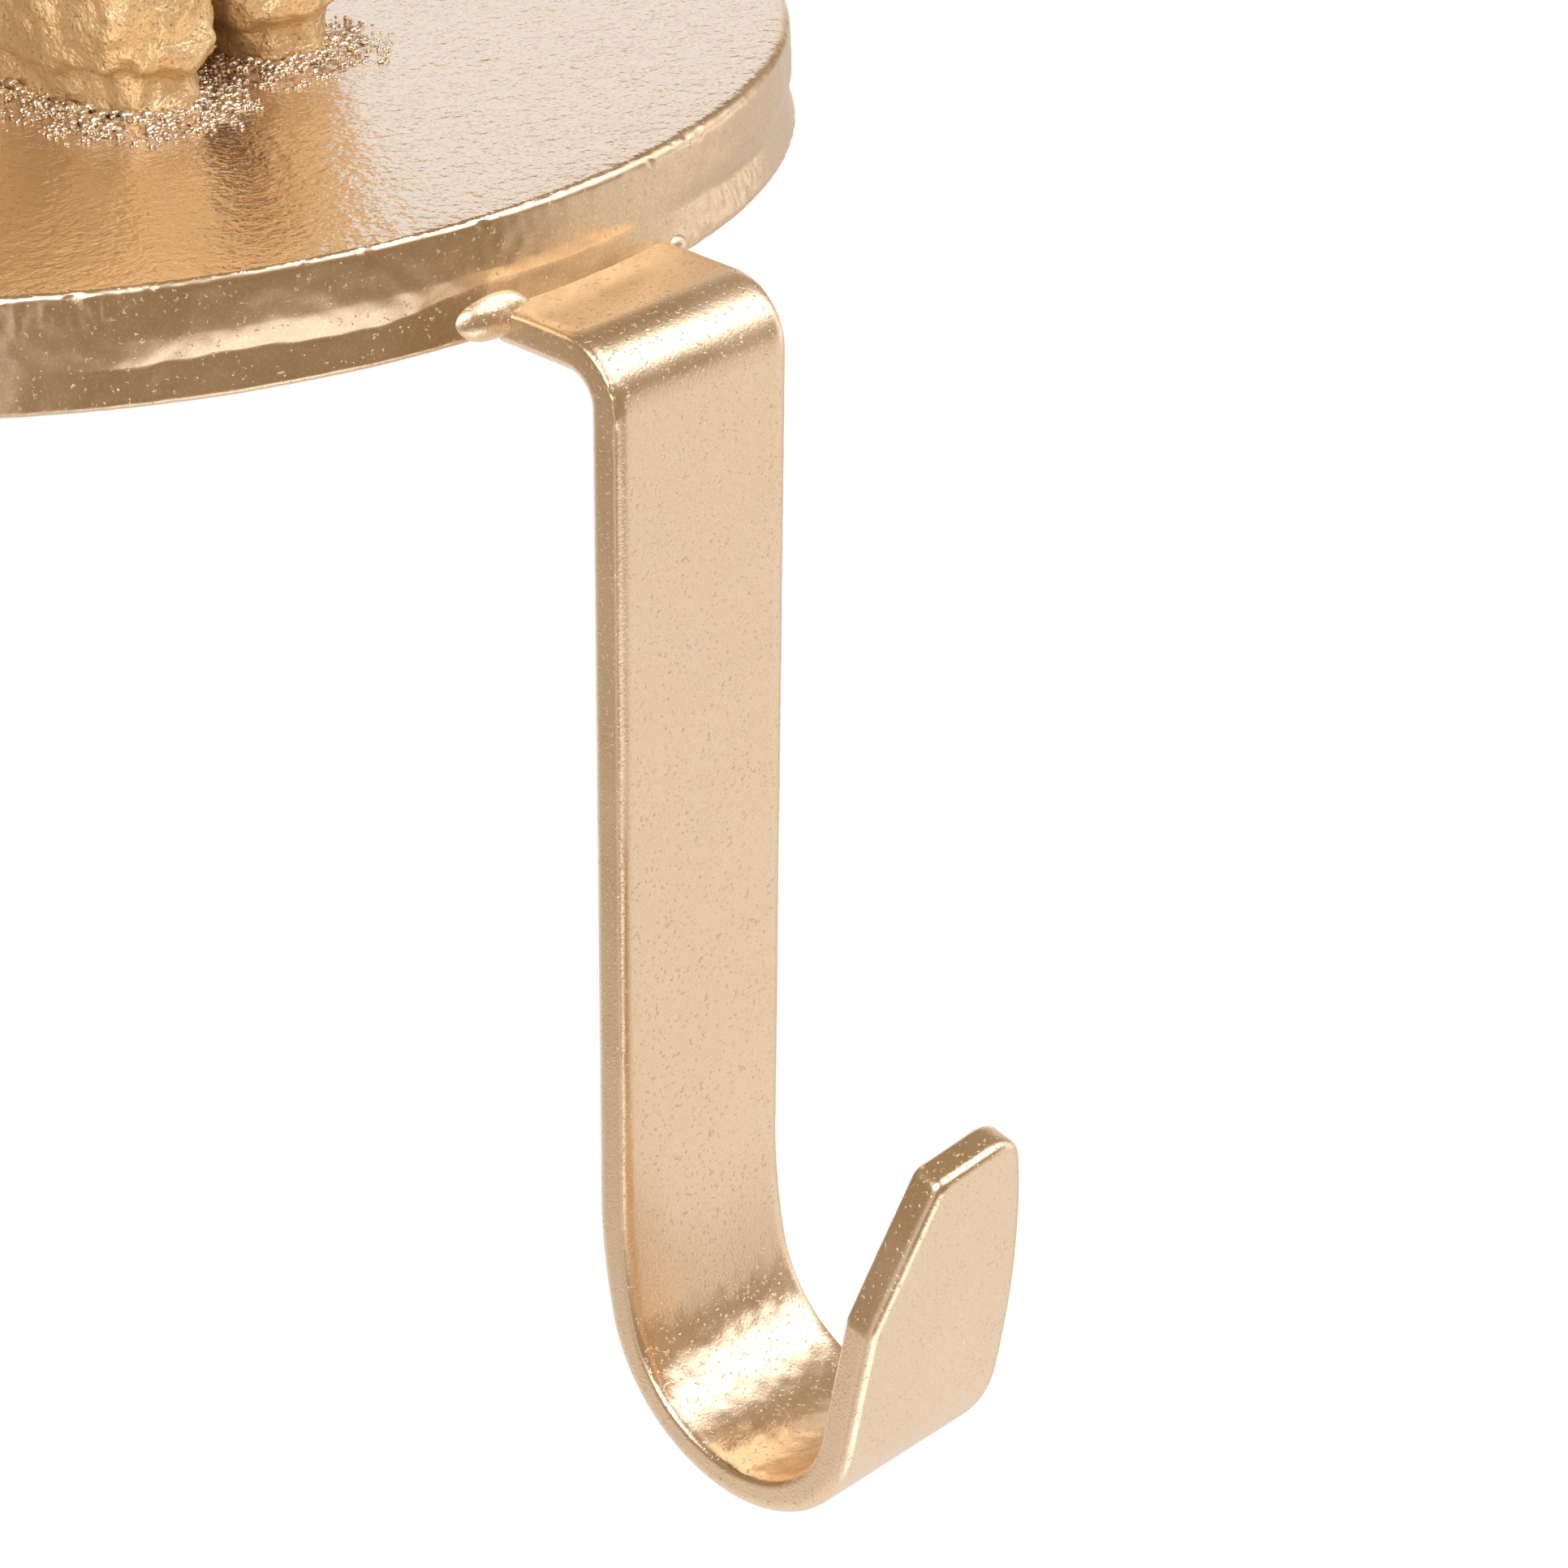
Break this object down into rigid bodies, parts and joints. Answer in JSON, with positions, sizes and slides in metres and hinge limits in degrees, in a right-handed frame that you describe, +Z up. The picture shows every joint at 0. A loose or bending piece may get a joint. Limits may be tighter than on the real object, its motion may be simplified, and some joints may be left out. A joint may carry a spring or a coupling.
{
  "type": "mantel stocking holder",
  "caption": "Weighted round metal base with a rough-cast figure on top and a flat-bar J-hook welded to its rim, for hanging a stocking over a mantel's edge.",
  "frame": {"origin": "centre of the felt's underside, the face that rests on the mantel", "axes": "+Z up, away from the mantel; -Y out over the mantel's front edge, where the hook hangs; X along the edge"},
  "size_m": [0.104, 0.1372, 0.1582],
  "materials": {
    "plate_gold": "gloss gold paint over a cast skin",
    "hook_gold": "satin gold paint with a fine metallic grain",
    "cast_gold": "satin gold paint over rough sand casting",
    "weld_gold": "gloss gold paint over weld beads",
    "felt": "pressed felt"
  },
  "bodies": {
    "root": {"base_plate": "plate_gold", "hook": "hook_gold", "hook_welds": "weld_gold", "ornament": "cast_gold", "ornament_weld": "weld_gold", "felt_pad": "felt"}
  },
  "joints": []
}
